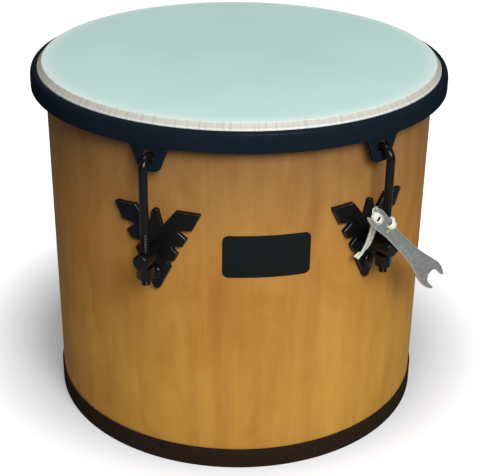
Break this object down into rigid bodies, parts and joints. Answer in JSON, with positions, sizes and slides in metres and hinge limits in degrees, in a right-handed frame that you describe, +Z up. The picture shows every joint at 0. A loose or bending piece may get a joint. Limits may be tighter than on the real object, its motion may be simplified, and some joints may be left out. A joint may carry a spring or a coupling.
{
  "type": "hand repique",
  "caption": "Single-headed wooden samba drum with a black eared rim, hook rods on winged lug plates, a bottom ring and a spanner tied to a rod.",
  "frame": {"origin": "drum's axis at the floor that it stands on", "axes": "+Z up along the drum's axis, -Y towards the badge at the front, +X towards the lug that carries the spanner"},
  "size_m": [0.3276, 0.3386, 0.2875],
  "materials": {
    "shell_wood": "glossy clear varnish over pale bent plywood",
    "head": "satin white synthetic film with a moulded collar",
    "hoop": "plain rolled channel",
    "rim_paint": "gloss black enamel on rolled steel",
    "ring_paint": "semi-gloss brown-black enamel on steel",
    "black_hardware": "satin black coating",
    "zinc_hardware": "plain zinc plating",
    "badge": "bare black vinyl",
    "key_steel": "mottled galvanised steel with bright edges",
    "tie": "ivory white moulded plastic"
  },
  "bodies": {
    "drum": {"shell": "shell_wood", "head_film": "head", "flesh_hoop": "hoop", "bottom_ring": "ring_paint", "ring_screw_1": "black_hardware", "ring_screw_2": "black_hardware", "ring_screw_3": "black_hardware", "lug_plate_1": "black_hardware", "lug_plate_2": "black_hardware", "lug_plate_3": "black_hardware", "lug_plate_4": "black_hardware", "lug_post_1": "black_hardware", "lug_post_2": "black_hardware", "lug_post_3": "black_hardware", "lug_post_4": "black_hardware", "plate_screw_1": "black_hardware", "plate_screw_2": "black_hardware", "plate_screw_3": "black_hardware", "plate_screw_4": "black_hardware", "post_washer_1": "zinc_hardware", "post_washer_2": "zinc_hardware", "post_washer_3": "zinc_hardware", "post_washer_4": "zinc_hardware", "post_nut_1": "zinc_hardware", "post_nut_2": "zinc_hardware", "post_nut_3": "zinc_hardware", "post_nut_4": "zinc_hardware", "screw_washer_1": "zinc_hardware", "screw_washer_2": "zinc_hardware", "screw_washer_3": "zinc_hardware", "screw_washer_4": "zinc_hardware", "screw_nut_1": "zinc_hardware", "screw_nut_2": "zinc_hardware", "screw_nut_3": "zinc_hardware", "screw_nut_4": "zinc_hardware", "badge": "badge"},
    "rim_and_rods": {"rim": "rim_paint", "hook_rod_1": "black_hardware", "hook_rod_2": "black_hardware", "hook_rod_3": "black_hardware", "hook_rod_4": "black_hardware"},
    "nut_1": {"tension_nut_1": "black_hardware"},
    "nut_2": {"tension_nut_2": "black_hardware"},
    "nut_3": {"tension_nut_3": "black_hardware"},
    "nut_4": {"tension_nut_4": "black_hardware"},
    "key": {"tuning_key": "key_steel", "key_tie": "tie", "tie_head": "tie"}
  },
  "joints": [
    {"name": "nut_turn_1", "type": "hinge", "parent": "drum", "child": "nut_1", "pos_m": [-0.08623, -0.14935, 0.1762], "axis": [0, 0, -1], "range_deg": [0, 1440]},
    {"name": "nut_turn_2", "type": "hinge", "parent": "drum", "child": "nut_2", "pos_m": [0.08623, -0.14935, 0.1762], "axis": [0, 0, -1], "range_deg": [0, 1440]},
    {"name": "nut_turn_3", "type": "hinge", "parent": "drum", "child": "nut_3", "pos_m": [0.08623, 0.14935, 0.1762], "axis": [0, 0, -1], "range_deg": [0, 1440]},
    {"name": "nut_turn_4", "type": "hinge", "parent": "drum", "child": "nut_4", "pos_m": [-0.08623, 0.14935, 0.1762], "axis": [0, 0, -1], "range_deg": [0, 1440]},
    {"name": "rim_lift", "type": "slide", "parent": "drum", "child": "rim_and_rods", "axis": [0, 0, 1], "range_m": [0, 0.00508]},
    {"name": "key_swing", "type": "hinge", "parent": "drum", "child": "key", "pos_m": [0.08623, -0.14935, 0.212], "axis": [0.5, -0.866, 0], "range_deg": [-40, 35], "deforming": ["key_tie"]}
  ],
  "couplings": [
    {"joint": "nut_turn_1", "follows": "rim_lift", "rad_per_m": 4947.4},
    {"joint": "nut_turn_2", "follows": "rim_lift", "rad_per_m": 4947.4},
    {"joint": "nut_turn_3", "follows": "rim_lift", "rad_per_m": 4947.4},
    {"joint": "nut_turn_4", "follows": "rim_lift", "rad_per_m": 4947.4}
  ]
}
